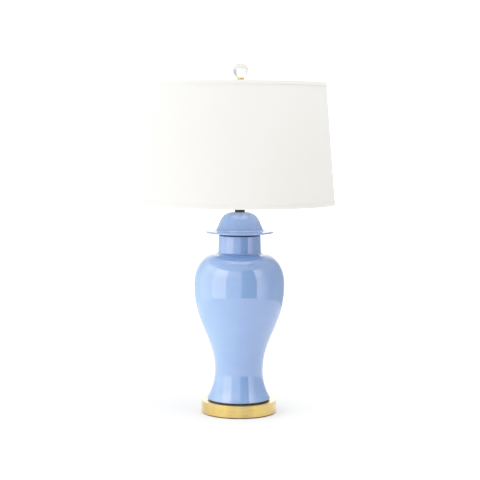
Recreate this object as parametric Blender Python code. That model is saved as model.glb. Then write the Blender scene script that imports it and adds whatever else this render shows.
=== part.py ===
"""A table lamp: a glazed jar with a lid, on a round brass base, under a tapered drum shade.

A threaded pipe runs from a nut under the base up through the jar and its lid to the socket, and clamps
them together. A harp rises from a saddle under the socket, and carries the shade's spider on its stud,
where a glass finial screws it down.

Metres, +Z up. The origin is the centre of the felt pad's underside, where the lamp rests.
"""

from math import cos, pi, radians, sin, tau

import bmesh
import bpy
from mathutils import Vector

MM = 0.001
GAP = 0.3 * MM  # between pieces that touch

# Sides of a turned piece, from large to small.
WIDE = 36
ROUND = 20
SMALL = 12

# The lamp pipe, the axis that everything is threaded on.
PIPE_RADIUS = 4.85 * MM
PIPE_BORE = 3.3 * MM
PIPE_HOLE = PIPE_RADIUS + GAP
PIPE_BOTTOM = 14 * MM
PIPE_TOP = 471 * MM

# The brass base and what is under and in it.
BASE_RADIUS = 85 * MM
BASE_TOP = 28.5 * MM
BASE_WALL = 4 * MM
BASE_EDGE = 1 * MM
FELT_RADIUS = 82 * MM
FELT_THICKNESS = 1.7 * MM
INLET_HEIGHT = 12 * MM
INLET_RADIUS = 5.3 * MM

# The jar.
JAR_BOTTOM = 30 * MM
JAR_WALL = 6 * MM
FOOT_RADIUS = 71.5 * MM
FOOT_ROUND = 3.5 * MM
WAIST_RADIUS = 54.5 * MM
WAIST_HEIGHT = 96.4 * MM
BELLY_RADIUS = 102.6 * MM
BELLY_HEIGHT = 291 * MM
SHOULDER_CENTRE = 50 * MM
SHOULDER_RISE = 70 * MM
SHOULDER_POWER = 2.1
SHOULDER_END = 64.6 * MM
NECK_RADIUS = 48.7 * MM
NECK_LIP = 47.6 * MM
NECK_BOTTOM = 365.2 * MM
NECK_TOP = 402.2 * MM

# The lid.
BRIM_RADIUS = 76.8 * MM
BRIM_BOTTOM = 407.2 * MM
BRIM_THICKNESS = 4.2 * MM
RIM_DEPTH = 11 * MM
LID_WALL = 5 * MM
LID_TOP = 455.6 * MM
COVE_EDGE = (58 * MM, 412.6 * MM)
DOME_FOOT = (53.4 * MM, 415.2 * MM)
DOME_START = (51.6 * MM, 419.7 * MM)

# The fittings above the lid.
COLLAR_RADIUS = 11.9 * MM
SADDLE_HEIGHT = 463.3 * MM
SADDLE_THICKNESS = 1.6 * MM
PRONG_X = 29 * MM
PRONG_TOP = 487 * MM
SOCKET_BOTTOM = 464.6 * MM
SOCKET_RADIUS = 17.6 * MM
SWITCH_HEIGHT = 492 * MM
STEM_RADIUS = 1.8 * MM
BULB_TIP = 501.6 * MM
BULB_RADIUS = 30 * MM
BULB_TOP = 614 * MM

# The harp, 254 mm from its seat to its top.
HARP_WIRE = 1.9 * MM
HARP_FOOT_X = 32 * MM
HARP_FOOT = 476.5 * MM
HARP_HALF_WIDTH = 60 * MM
HARP_TOP = 725 * MM
SLEEVE_X = (PRONG_X + HARP_FOOT_X) / 2 + 0.5 * MM
SLEEVE_BOTTOM = 477.5 * MM
SLEEVE_LENGTH = 14 * MM

# The shade, by the radius of its outermost face, the trim bands.
SHADE_BOTTOM = 472.9 * MM
SHADE_TOP = 744.4 * MM
SHADE_BOTTOM_RADIUS = 214.5 * MM
SHADE_TOP_RADIUS = 192 * MM
TRIM_THICKNESS = 0.5 * MM
TRIM_HEIGHT = 8 * MM
TRIM_LIP = 4 * MM
FABRIC_THICKNESS = 0.5 * MM
LINER_THICKNESS = 0.6 * MM
RING_WIRE = 1.6 * MM
WASHER_BOTTOM = 729.3 * MM
WASHER_THICKNESS = 1.7 * MM
WASHER_RADIUS = 9.5 * MM
ARM_WIRE = 1.5 * MM
ARM_ANGLES = {"front": 270, "left": 150, "right": 30}

# The finial.
FINIAL_BOTTOM = 731.3 * MM
FINIAL_BALL_RADIUS = 17.6 * MM
FINIAL_BALL_HEIGHT = 769.7 * MM
STUD_RADIUS = 3.1 * MM


# ---- tools -------------------------------------------------------------------------------------


def material(name, colour, roughness, metallic=0.0, transmission=0.0):
    """A Principled material in one colour."""
    made = bpy.data.materials.new(name)
    made.use_nodes = True
    shader = made.node_tree.nodes["Principled BSDF"]
    shader.inputs["Base Color"].default_value = (*colour, 1.0)
    shader.inputs["Roughness"].default_value = roughness
    shader.inputs["Metallic"].default_value = metallic
    shader.inputs["Transmission Weight"].default_value = transmission
    return made


def add(name, bm, finish, at=(0, 0, 0), turn=None):
    """The object of a bmesh, with its origin at a point and its own +Z along another axis."""
    bmesh.ops.recalc_face_normals(bm, faces=bm.faces)
    mesh = bpy.data.meshes.new(name)
    bm.to_mesh(mesh)
    bm.free()
    mesh.shade_smooth()
    mesh.set_sharp_from_angle(angle=radians(35))
    mesh.materials.append(finish)
    made = bpy.data.objects.new(name, mesh)
    bpy.context.scene.collection.objects.link(made)
    made.location = at
    if turn:
        made.rotation_euler = Vector((0, 0, 1)).rotation_difference(Vector(turn)).to_euler()
    return made


def turned(name, outline, finish, sides=ROUND, at=(0, 0, 0), turn=None):
    """A solid turned about its Z from (radius, height) points; off the axis, it closes as a ring."""
    bm = bmesh.new()
    angles = [tau * i / sides for i in range(sides)]
    rings = []
    for radius, height in outline:
        around = angles if radius > 0 else [0]
        rings.append([bm.verts.new((radius * cos(a), radius * sin(a), height)) for a in around])
    pairs = list(zip(rings, rings[1:]))
    if outline[0][0] > 0 and outline[-1][0] > 0:
        pairs.append((rings[-1], rings[0]))
    for low, high in pairs:
        for i in range(sides):
            loop = [ring[k % len(ring)] for ring, k in ((low, i), (low, i + 1), (high, i + 1), (high, i))]
            corners = list(dict.fromkeys(loop))
            if len(corners) > 2:
                bm.faces.new(corners)
    return add(name, bm, finish, at, turn)


def wire(name, path, radius, finish, sides=8):
    """A round wire along points, with flat ends."""
    curve = bpy.data.curves.new(name, "CURVE")
    curve.dimensions = "3D"
    curve.bevel_depth = radius
    curve.bevel_resolution = (sides - 4) // 2
    curve.use_fill_caps = True
    spline = curve.splines.new("POLY")
    spline.points.add(len(path) - 1)
    for point, place in zip(spline.points, path):
        point.co = (*place, 1)
    curve.materials.append(finish)
    made = bpy.data.objects.new(name, curve)
    bpy.context.scene.collection.objects.link(made)
    return made


def cut_round(piece, start, along, radius, length):
    """Cuts a round hole in a piece, from a point along a direction."""
    outline = [(0, 0), (radius, 0), (radius, length), (0, length)]
    cutter = turned(f"{piece.name}_cutter", outline, piece.data.materials[0], SMALL, start, along)
    cutter.hide_render = True
    cutter.display_type = "WIRE"
    cut = piece.modifiers.new("hole", "BOOLEAN")
    cut.operation = "DIFFERENCE"
    cut.object = cutter


def bezier(a, b, c, d, count):
    """Points along a cubic curve from a to d, both among them."""
    a, b, c, d = (Vector(p) for p in (a, b, c, d))
    steps = [i / count for i in range(count + 1)]
    return [
        tuple(a * (1 - t) ** 3 + b * 3 * t * (1 - t) ** 2 + c * 3 * t * t * (1 - t) + d * t**3)
        for t in steps
    ]


def arc(centre, radius, start, end, count):
    """Points along an arc between two angles in degrees, both ends among them."""
    angles = [radians(start + (end - start) * i / count) for i in range(count + 1)]
    return [(centre[0] + radius * cos(a), centre[1] + radius * sin(a)) for a in angles]


def inward(outline, wall):
    """An outline that runs upwards, moved by a wall's thickness to its left, towards the axis."""
    moved = []
    for i, point in enumerate(outline):
        before, after = outline[max(i - 1, 0)], outline[min(i + 1, len(outline) - 1)]
        along = (Vector(after) - Vector(before)).normalized()
        moved.append((point[0] - along.y * wall, point[1] + along.x * wall))
    return moved


def tube(outer, bore, bottom, top):
    """The outline of a plain tube."""
    return [(bore, bottom), (outer, bottom), (outer, top), (bore, top)]


# ---- materials ---------------------------------------------------------------------------------

GLAZE = material("blue_glaze", (0.37, 0.58, 0.86), 0.12)
BRASS = material("satin_brass", (0.84, 0.64, 0.30), 0.3, 1.0)
BRONZE = material("dark_bronze", (0.07, 0.05, 0.03), 0.4, 1.0)
STEEL = material("zinc_steel", (0.62, 0.62, 0.6), 0.35, 1.0)
FELT = material("black_felt", (0.02, 0.02, 0.02), 0.95)
BUSHING = material("black_nylon", (0.03, 0.03, 0.03), 0.5)
FIBRE = material("grey_fibre", (0.35, 0.33, 0.3), 0.9)
CORE = material("black_phenolic", (0.03, 0.025, 0.02), 0.4)
OPAL = material("opal_glass", (0.93, 0.93, 0.9), 0.3)
STYRENE = material("white_styrene", (0.9, 0.9, 0.87), 0.5)
LINEN = material("white_linen", (0.87, 0.87, 0.84), 0.9)
CLEAR = material("clear_glass", (0.97, 0.98, 0.97), 0.02, 0.0, 1.0)


# ---- the base ----------------------------------------------------------------------------------


def base():
    """The felt pad, the brass base with its cord bushing, and the nut that holds the pipe under it."""
    turned(
        "base_felt",
        [(0, 0), (FELT_RADIUS, 0), (FELT_RADIUS, FELT_THICKNESS), (0, FELT_THICKNESS)],
        FELT,
        WIDE,
    )
    bottom = FELT_THICKNESS + GAP
    ceiling = BASE_TOP - BASE_WALL
    inside = BASE_RADIUS - BASE_WALL
    shell = turned(
        "base_plinth",
        [
            (inside, bottom),
            (BASE_RADIUS - BASE_EDGE, bottom),
            (BASE_RADIUS, bottom + BASE_EDGE),
            (BASE_RADIUS, BASE_TOP - BASE_EDGE),
            (BASE_RADIUS - BASE_EDGE, BASE_TOP),
            (PIPE_HOLE, BASE_TOP),
            (PIPE_HOLE, ceiling),
            (inside, ceiling),
        ],
        BRASS,
        WIDE,
    )
    cut_round(shell, (0, inside - 5 * MM, INLET_HEIGHT), (0, 1, 0), INLET_RADIUS, 20 * MM)
    bushing_bore = 3.4 * MM
    bushing_neck = INLET_RADIUS - 0.4 * MM
    clip_back = inside - 2.4 * MM
    clip_front = inside - 0.6 * MM
    flange_back = BASE_RADIUS + GAP
    turned(
        "cord_bushing",
        [
            (bushing_bore, clip_back),
            (6.4 * MM, clip_back),
            (6.4 * MM, clip_front),
            (bushing_neck, clip_front),
            (bushing_neck, flange_back),
            (7.6 * MM, flange_back),
            (7 * MM, flange_back + 2 * MM),
            (bushing_bore, flange_back + 2 * MM),
        ],
        BUSHING,
        ROUND,
        (0, 0, INLET_HEIGHT),
        (0, 1, 0),
    )
    washer_top = ceiling - GAP
    washer_bottom = washer_top - 1.5 * MM
    turned("pipe_washer", tube(16 * MM, PIPE_HOLE, washer_bottom, washer_top), STEEL, SMALL)
    nut_top = washer_bottom - GAP
    hex_nut("pipe_nut", nut_top - 5 * MM, nut_top, 7.2 * MM)
    turned("lamp_pipe", tube(PIPE_RADIUS, PIPE_BORE, PIPE_BOTTOM, PIPE_TOP), STEEL, SMALL)


def hex_nut(name, bottom, top, half_flats):
    """A six-sided nut with a round hole for the pipe."""
    bm = bmesh.new()
    angles = [tau * i / ROUND for i in range(ROUND)]
    to_flat = [(a + pi / 6) % (pi / 3) - pi / 6 for a in angles]
    outside = [half_flats / cos(a) for a in to_flat]
    loops = []
    for radii, height in (
        ([PIPE_HOLE] * ROUND, bottom),
        (outside, bottom),
        (outside, top),
        ([PIPE_HOLE] * ROUND, top),
    ):
        loops.append([bm.verts.new((r * cos(a), r * sin(a), height)) for r, a in zip(radii, angles)])
    for low, high in zip(loops, loops[1:] + loops[:1]):
        for i in range(ROUND):
            j = (i + 1) % ROUND
            bm.faces.new((low[i], low[j], high[j], high[i]))
    add(name, bm, STEEL)


# ---- the jar and its lid -----------------------------------------------------------------------


def shoulder(count):
    """The rounded shoulder, a superellipse from the belly's widest point to the nearly flat top."""
    reach = BELLY_RADIUS - SHOULDER_CENTRE
    last = ((SHOULDER_END - SHOULDER_CENTRE) / reach) ** (SHOULDER_POWER / 2)
    points = []
    for i in range(count + 1):
        side = 1 - (1 - last) * (i / count) ** 2
        out = side ** (2 / SHOULDER_POWER)
        rise = (1 - side**2) ** (1 / SHOULDER_POWER)
        points.append((SHOULDER_CENTRE + reach * out, BELLY_HEIGHT + SHOULDER_RISE * rise))
    return points


def jar_side():
    """The jar's outside, from the top of its foot's round to its lip."""
    foot = bezier(
        (FOOT_RADIUS, JAR_BOTTOM + FOOT_ROUND),
        (61.9 * MM, 49.5 * MM),
        (WAIST_RADIUS, 70.4 * MM),
        (WAIST_RADIUS, WAIST_HEIGHT),
        4,
    )
    belly = bezier(
        (WAIST_RADIUS, WAIST_HEIGHT),
        (WAIST_RADIUS, 171.6 * MM),
        (BELLY_RADIUS, 199 * MM),
        (BELLY_RADIUS, BELLY_HEIGHT),
        7,
    )
    top = shoulder(6)
    fillet = bezier(
        top[-1], (55 * MM, 360.8 * MM), (NECK_RADIUS, 360.4 * MM), (NECK_RADIUS, NECK_BOTTOM), 3
    )
    return foot + belly[1:] + top[1:] + fillet[1:] + [(NECK_LIP, NECK_TOP - 2 * MM)]


def jar():
    """The hollow jar, open at the neck, with the pipe's hole in its foot, on a thin gasket."""
    gasket_bottom = BASE_TOP + GAP
    gasket_top = JAR_BOTTOM - GAP
    turned("foot_gasket", tube(66 * MM, PIPE_HOLE, gasket_bottom, gasket_top), FELT, WIDE)
    floor = JAR_BOTTOM + 7 * MM
    side = jar_side()
    inside = [p for p in reversed(inward(side[:-1], JAR_WALL)[::2]) if p[1] > floor + 5 * MM]
    neck_inside = NECK_LIP - JAR_WALL
    outline = [
        (PIPE_HOLE, JAR_BOTTOM),
        (FOOT_RADIUS - FOOT_ROUND, JAR_BOTTOM),
        (FOOT_RADIUS - 0.8 * MM, JAR_BOTTOM + 1 * MM),
        *side,
        (NECK_LIP - 1.5 * MM, NECK_TOP),
        (neck_inside, NECK_TOP),
        *inside,
        (inside[-1][0] - 3 * MM, floor),
        (PIPE_HOLE, floor),
    ]
    turned("jar", outline, GLAZE, WIDE)


def lid():
    """The domed lid on its gasket: a brim, a locating rim inside the neck, and the dome."""
    rim_outer = NECK_LIP - JAR_WALL - 0.5 * MM
    rim_inner = rim_outer - 4 * MM
    rim_bottom = BRIM_BOTTOM - RIM_DEPTH
    turned(
        "lid_gasket",
        tube(46 * MM, rim_outer + GAP, NECK_TOP + GAP, BRIM_BOTTOM - GAP),
        FELT,
        WIDE,
    )
    edge_radius = BRIM_THICKNESS / 2
    edge_centre = (BRIM_RADIUS - edge_radius, BRIM_BOTTOM + edge_radius)
    dome = bezier(
        DOME_START, (44.5 * MM, 429.4 * MM), (45.2 * MM, 456.6 * MM), (PIPE_HOLE, LID_TOP), 7
    )
    inside = list(reversed(inward(dome, LID_WALL)[:-1:2]))
    outline = [
        (rim_inner, rim_bottom),
        (rim_outer, rim_bottom),
        (rim_outer, BRIM_BOTTOM),
        *arc(edge_centre, edge_radius, -90, 80, 3),
        COVE_EDGE,
        DOME_FOOT,
        *dome,
        (PIPE_HOLE, LID_TOP - LID_WALL),
        *inside,
        (rim_inner, DOME_FOOT[1]),
    ]
    turned("lid", outline, GLAZE, WIDE)


# ---- the socket, its switch and the bulb -------------------------------------------------------


def socket():
    """The collar on the lid, and the socket's cap, shell, insulator, core and contacts."""
    collar_bottom = LID_TOP + GAP
    collar_top = SADDLE_HEIGHT - SADDLE_THICKNESS / 2 - GAP
    turned(
        "neck_collar",
        [
            (PIPE_HOLE, collar_bottom),
            (COLLAR_RADIUS, collar_bottom),
            (COLLAR_RADIUS, collar_top - 0.6 * MM),
            (COLLAR_RADIUS - 0.6 * MM, collar_top),
            (PIPE_HOLE, collar_top),
        ],
        BRONZE,
    )
    wall = 0.9 * MM
    cap_rim = SOCKET_BOTTOM + 20 * MM
    bowl = SOCKET_BOTTOM + 6 * MM
    turned(
        "socket_cap",
        [
            (PIPE_HOLE, SOCKET_BOTTOM),
            (8.5 * MM, SOCKET_BOTTOM),
            (8.5 * MM, bowl - 1 * MM),
            (SOCKET_RADIUS - 2 * MM, bowl + 3 * MM),
            (SOCKET_RADIUS, bowl + 7 * MM),
            (SOCKET_RADIUS, cap_rim),
            (SOCKET_RADIUS - wall, cap_rim),
            (SOCKET_RADIUS - wall, bowl + 7.4 * MM),
            (SOCKET_RADIUS - 2 * MM - wall, bowl + 3.8 * MM),
            (8 * MM, bowl + 0.5 * MM),
            (PIPE_HOLE, bowl + 0.5 * MM),
        ],
        BRASS,
    )
    shell_outer = SOCKET_RADIUS - wall - GAP
    shell_bottom = bowl + 8.5 * MM
    shell_top = 522 * MM
    shell = turned(
        "socket_shell",
        [
            (shell_outer - wall, shell_bottom),
            (shell_outer, shell_bottom),
            (shell_outer, shell_top - 5 * MM),
            (shell_outer + 1.6 * MM, shell_top),
            (shell_outer + 0.9 * MM, shell_top),
            (shell_outer - wall, shell_top - 5 * MM),
        ],
        BRASS,
    )
    sleeve_outer = shell_outer - wall - GAP
    insulator = turned(
        "socket_insulator",
        tube(sleeve_outer, sleeve_outer - 0.5 * MM, shell_bottom, shell_top - 6 * MM),
        FIBRE,
    )
    core_top = SWITCH_HEIGHT + 7 * MM
    core_radius = 12.4 * MM
    core_bottom = shell_bottom + 2 * MM
    core = turned(
        "socket_core",
        [(0, core_bottom), (core_radius, core_bottom), (core_radius, core_top), (0, core_top)],
        CORE,
    )
    hole = STEM_RADIUS + 0.8 * MM
    for piece in (shell, insulator):
        cut_round(piece, (0, -10 * MM, SWITCH_HEIGHT), (0, -1, 0), hole, 12 * MM)
    cut_round(core, (0, -6 * MM, SWITCH_HEIGHT), (0, -1, 0), hole, 12 * MM)
    seat = core_top + GAP
    turned("screw_shell", tube(14.1 * MM, 13.5 * MM, seat, shell_top - 2 * MM), BRASS)
    tab = BULB_TIP - GAP
    turned("centre_contact", [(0, seat), (4 * MM, seat), (3 * MM, tab), (0, tab)], BRASS, SMALL)
    terminal_screws(core_radius + GAP, SWITCH_HEIGHT - 4 * MM)


def terminal_screws(face, height):
    """The two wire screws, one on each side of the core."""
    head_radius = 2.5 * MM
    head_depth = 1.4 * MM
    head = [(0, 0), (head_radius, 0), (head_radius - 0.4 * MM, head_depth), (0, head_depth)]
    for name, side in (("left", -1), ("right", 1)):
        turned(f"terminal_screw_{name}", head, BRASS, SMALL, (side * face, 0, height), (side, 0, 0))


def switch():
    """The turn knob and its stem, with their origins on the axis that they turn about."""
    axis = (0, 0, SWITCH_HEIGHT)
    front = (0, -1, 0)
    knob_back = 23 * MM
    knob_front = 37 * MM
    stem_end = 33 * MM
    turned(
        "switch_stem",
        [(0, 7 * MM), (STEM_RADIUS, 7 * MM), (STEM_RADIUS, stem_end), (0, stem_end)],
        BRASS,
        SMALL,
        axis,
        front,
    )
    bore = STEM_RADIUS + GAP
    turned(
        "switch_knob",
        [
            (bore, knob_back),
            (4.4 * MM, knob_back),
            (4.8 * MM, knob_back + 3 * MM),
            (5.4 * MM, knob_front - 1.5 * MM),
            (4.4 * MM, knob_front),
            (0, knob_front),
            (0, stem_end + GAP),
            (bore, stem_end + GAP),
        ],
        CORE,
        ROUND,
        axis,
        front,
    )


def bulb():
    """A frosted bulb: its tip contact, its brass screw base and its hollow glass."""
    base_bottom = BULB_TIP + 1.8 * MM
    base_top = base_bottom + 24 * MM
    base_radius = 13 * MM
    turned(
        "bulb_tip",
        [(0, BULB_TIP), (3.5 * MM, BULB_TIP), (4.5 * MM, base_bottom - GAP), (0, base_bottom - GAP)],
        STEEL,
        SMALL,
    )
    turned(
        "bulb_base",
        [
            (0, base_bottom),
            (6 * MM, base_bottom),
            (base_radius, base_bottom + 4 * MM),
            (base_radius, base_top),
            (0, base_top),
        ],
        STEEL,
    )
    neck = base_top + GAP
    centre = BULB_TOP - BULB_RADIUS
    flank = bezier(
        (13.4 * MM, neck),
        (14 * MM, neck + 16 * MM),
        (BULB_RADIUS, centre - 22 * MM),
        (BULB_RADIUS, centre),
        5,
    )
    crown = arc((0, centre), BULB_RADIUS, 0, 90, 4)
    outside = flank + crown[1:-1]
    inside = list(reversed(inward(outside, 1 * MM)))
    turned("bulb_glass", [(0, BULB_TOP - 1 * MM), *inside, *outside, (0, BULB_TOP)], OPAL)


# ---- the harp ----------------------------------------------------------------------------------


def saddle():
    """The strap under the socket, bent up at both ends into the prongs that hold the harp."""
    half = bezier(
        (12 * MM, SADDLE_HEIGHT),
        (24 * MM, SADDLE_HEIGHT),
        (PRONG_X, SADDLE_HEIGHT + 2 * MM),
        (PRONG_X, SADDLE_HEIGHT + 11 * MM),
        5,
    ) + [(PRONG_X, PRONG_TOP)]
    across = [7.5, 7.3, 6.4, 5, 3.6, 2.8, 2.6]  # half widths in mm, narrowing up the prong
    right = [(x, z, width * MM) for (x, z), width in zip(half, across)]
    middle = [(-x, z, width) for x, z, width in reversed(right)] + right
    bm = bmesh.new()
    rings = []
    for i, (x, z, width) in enumerate(middle):
        before, after = middle[max(i - 1, 0)], middle[min(i + 1, len(middle) - 1)]
        along = Vector((after[0] - before[0], after[1] - before[1])).normalized()
        dx, dz = -along.y * SADDLE_THICKNESS / 2, along.x * SADDLE_THICKNESS / 2
        edges = ((1, -1), (1, 1), (-1, 1), (-1, -1))
        corners = [(x + dx * face, width * side, z + dz * face) for face, side in edges]
        rings.append([bm.verts.new(c) for c in corners])
    for low, high in zip(rings, rings[1:]):
        for k in range(4):
            bm.faces.new((low[k], low[(k + 1) % 4], high[(k + 1) % 4], high[k]))
    bm.faces.new(rings[0])
    bm.faces.new(rings[-1])
    strap = add("harp_saddle", bm, BRASS)
    cut_round(strap, (0, 0, SADDLE_HEIGHT - 5 * MM), (0, 0, 1), PIPE_HOLE, 10 * MM)


def harp():
    """The bowed wire, the two sleeves that lock its feet to the saddle, and the stud on its top."""
    straight_top = 514 * MM
    widest = 610 * MM
    flat = 10 * MM
    rising = bezier(
        (HARP_FOOT_X, straight_top),
        (HARP_FOOT_X, 545 * MM),
        (HARP_HALF_WIDTH, 562 * MM),
        (HARP_HALF_WIDTH, widest),
        7,
    )
    closing = bezier(
        (HARP_HALF_WIDTH, widest), (HARP_HALF_WIDTH, 675 * MM), (40 * MM, HARP_TOP), (flat, HARP_TOP), 9
    )
    side = [(HARP_FOOT_X, HARP_FOOT)] + rising + closing[1:]
    path = [(-x, 0, z) for x, z in side] + [(x, 0, z) for x, z in reversed(side)]
    wire("harp_wire", path, HARP_WIRE, BRASS)
    for name, x in (("left", -SLEEVE_X), ("right", SLEEVE_X)):
        turned(
            f"harp_sleeve_{name}",
            tube(5.6 * MM, 4.7 * MM, 0, SLEEVE_LENGTH),
            BRASS,
            SMALL,
            (x, 0, SLEEVE_BOTTOM),
        )
    block_bottom = HARP_TOP - 3.2 * MM
    block_top = WASHER_BOTTOM - GAP
    stud = turned(
        "harp_stud",
        [
            (0, block_bottom),
            (7 * MM, block_bottom),
            (7 * MM, block_top),
            (STUD_RADIUS, block_top),
            (STUD_RADIUS, FINIAL_BOTTOM + 8 * MM),
            (0, FINIAL_BOTTOM + 8 * MM),
        ],
        BRASS,
    )
    cut_round(stud, (-12 * MM, 0, HARP_TOP), (1, 0, 0), HARP_WIRE + GAP, 24 * MM)


# ---- the shade ---------------------------------------------------------------------------------


def shade_radius(height, inset=0.0):
    """The shade's radius at a height, moved in from its outermost face."""
    share = (height - SHADE_BOTTOM) / (SHADE_TOP - SHADE_BOTTOM)
    return SHADE_BOTTOM_RADIUS + (SHADE_TOP_RADIUS - SHADE_BOTTOM_RADIUS) * share - inset


def cone(name, finish, outer_inset, thickness, bottom, top):
    """One layer of the shade's wall."""
    inner_inset = outer_inset + thickness
    outline = [
        (shade_radius(bottom, inner_inset), bottom),
        (shade_radius(bottom, outer_inset), bottom),
        (shade_radius(top, outer_inset), top),
        (shade_radius(top, inner_inset), top),
    ]
    turned(name, outline, finish, WIDE)


def trim(name, edge, inner_inset, upward):
    """A fabric band folded over one edge of the shade, long outside and short inside."""
    fold = edge + upward * TRIM_THICKNESS
    outside = edge + upward * TRIM_HEIGHT
    inside = edge + upward * TRIM_LIP
    outline = [
        (shade_radius(edge), edge),
        (shade_radius(outside), outside),
        (shade_radius(outside, TRIM_THICKNESS), outside),
        (shade_radius(fold, TRIM_THICKNESS), fold),
        (shade_radius(fold, inner_inset), fold),
        (shade_radius(inside, inner_inset), inside),
        (shade_radius(inside, inner_inset + TRIM_THICKNESS), inside),
        (shade_radius(edge, inner_inset + TRIM_THICKNESS), edge),
    ]
    turned(name, outline, LINEN, WIDE)


def shade():
    """The shade's layers, its two wire rings, and the spider that hangs it on the harp."""
    fold = TRIM_THICKNESS + GAP
    low = SHADE_BOTTOM + fold
    high = SHADE_TOP - fold
    fabric_inset = fold
    liner_inset = fabric_inset + FABRIC_THICKNESS + GAP
    ring_inset = liner_inset + LINER_THICKNESS + GAP + RING_WIRE
    lip_inset = ring_inset + RING_WIRE + GAP
    cone("shade_fabric", LINEN, fabric_inset, FABRIC_THICKNESS, low, high)
    cone("shade_liner", STYRENE, liner_inset, LINER_THICKNESS, low, high)
    trim("shade_trim_bottom", SHADE_BOTTOM, lip_inset, 1)
    trim("shade_trim_top", SHADE_TOP, lip_inset, -1)
    for name, height in (("bottom", low + RING_WIRE), ("top", high - RING_WIRE)):
        section = arc((shade_radius(height, ring_inset), height), RING_WIRE, 0, 300, 5)
        turned(f"shade_ring_{name}", section, BRASS, WIDE)
    washer_top = WASHER_BOTTOM + WASHER_THICKNESS
    turned(
        "spider_washer",
        tube(WASHER_RADIUS, STUD_RADIUS + GAP, WASHER_BOTTOM, washer_top),
        BRASS,
    )
    arm_end = high - 2 * RING_WIRE - GAP
    arm_reach = shade_radius(arm_end, ring_inset) - 0.8 * MM
    spider_arms((WASHER_BOTTOM + washer_top) / 2, arm_reach, arm_end)


def spider_arms(height, reach, end):
    """The arms, level from the washer outwards, then bent up to the top ring."""
    bend = 6 * MM
    turn_up = bezier((reach - bend, height), (reach, height), (reach, height), (reach, height + bend), 4)
    run = [(WASHER_RADIUS + GAP, height)] + turn_up + [(reach, end)]
    for name, angle in ARM_ANGLES.items():
        a = radians(angle)
        wire(f"spider_arm_{name}", [(r * cos(a), r * sin(a), z) for r, z in run], ARM_WIRE, BRASS)


# ---- the finial --------------------------------------------------------------------------------


def finial():
    """The brass base, tapped for the harp's stud, and the glass ball in its cup."""
    cup_radius = FINIAL_BALL_RADIUS + GAP
    cup = arc((0, FINIAL_BALL_HEIGHT), cup_radius, -90, -65, 3)
    rim = cup[-1]
    bore = STUD_RADIUS + GAP
    bore_top = FINIAL_BOTTOM + 8.6 * MM
    turned(
        "finial_base",
        [
            (0, bore_top),
            (bore, bore_top),
            (bore, FINIAL_BOTTOM),
            (9 * MM, FINIAL_BOTTOM),
            (9 * MM, FINIAL_BOTTOM + 2.5 * MM),
            (5.4 * MM, FINIAL_BOTTOM + 5 * MM),
            (5 * MM, FINIAL_BOTTOM + 12 * MM),
            (rim[0] + 0.7 * MM, rim[1] - 3 * MM),
            (rim[0] + 0.7 * MM, rim[1]),
            *reversed(cup),
        ],
        BRASS,
    )
    ball = arc((0, 0), FINIAL_BALL_RADIUS, -90, 90, 10)
    outline = [(0, -FINIAL_BALL_RADIUS), *ball[1:-1], (0, FINIAL_BALL_RADIUS)]
    turned("finial_ball", outline, CLEAR, ROUND, (0, 0, FINIAL_BALL_HEIGHT))


for old in list(bpy.data.objects):
    bpy.data.objects.remove(old)
base()
jar()
lid()
socket()
switch()
bulb()
saddle()
harp()
shade()
finial()
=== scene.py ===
"""The looks of a table lamp: a glazed jar on a brass base, under a linen drum shade with a glass finial.

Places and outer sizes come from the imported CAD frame; the outlines repeat the frame's design with finer
curves and rounded edges. Metres, +Z up. The lamp's axis is Z, its front is -Y and its rear is +Y.
"""

import math

import bmesh
import bpy
from mathutils import Matrix, Vector


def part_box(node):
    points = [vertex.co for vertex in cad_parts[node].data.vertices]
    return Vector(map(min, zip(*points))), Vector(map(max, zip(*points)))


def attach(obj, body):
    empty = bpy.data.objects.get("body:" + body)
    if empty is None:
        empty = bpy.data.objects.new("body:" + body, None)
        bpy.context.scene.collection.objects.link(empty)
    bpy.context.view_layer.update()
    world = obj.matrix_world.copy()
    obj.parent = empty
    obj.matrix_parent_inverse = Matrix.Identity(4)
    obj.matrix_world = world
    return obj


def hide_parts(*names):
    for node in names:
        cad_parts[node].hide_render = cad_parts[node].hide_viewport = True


MM = 0.001
TAU = math.tau
REAR = TAU / 4  # where the seams of turned pieces lie, at the back of the lamp

# Sides of a turned piece.
FINE = 160
ROUND = 96
SMALL = 48

# Camera, read from the picture: a long lens at the shade's height, tilted a little down.
CAMERA_PLACE = (0.0007, -3.1039, 0.6571)
CAMERA_TILT = math.radians(4.896)
CAMERA_ROLL = math.radians(0.35)
CAMERA_LENS = 103.75

FLOOR_RADIUS = 1.03
FILM_WHITE = 1.2  # the light that the picture shows as plain white

GAP = 0.3 * MM  # between pieces that touch, as in the frame
PIPE_HOLE = 5.15 * MM  # radius, in every piece that the lamp pipe runs through

# The jar and the lid.
JAR_WALL = 6 * MM
FOOT_RADIUS = 71.5 * MM
FOOT_ROUND = 3.5 * MM
WAIST_RADIUS = 54.5 * MM
WAIST_HEIGHT = 96.4 * MM
BELLY_HEIGHT = 291 * MM
SHOULDER_CENTRE = 50 * MM
SHOULDER_RISE = 70 * MM
SHOULDER_POWER = 2.1
SHOULDER_END = 64.6 * MM
NECK_RADIUS = 48.7 * MM
NECK_LIP = 47.6 * MM
NECK_BOTTOM = 365.2 * MM
BRIM_BOTTOM = 407.2 * MM
BRIM_THICKNESS = 4.6 * MM
DOME_START = (51.6 * MM, 419.7 * MM)
LID_WALL = 5 * MM

# The harp and the saddle.
HARP_STRAIGHT_TOP = 514 * MM
HARP_WIDEST = 610 * MM
HARP_FLAT = 10 * MM
SADDLE_THICKNESS = 1.6 * MM
THREAD_PITCH = 3.6 * MM  # of the bulb's screw base
THREAD_DEPTH = 0.9 * MM

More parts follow.
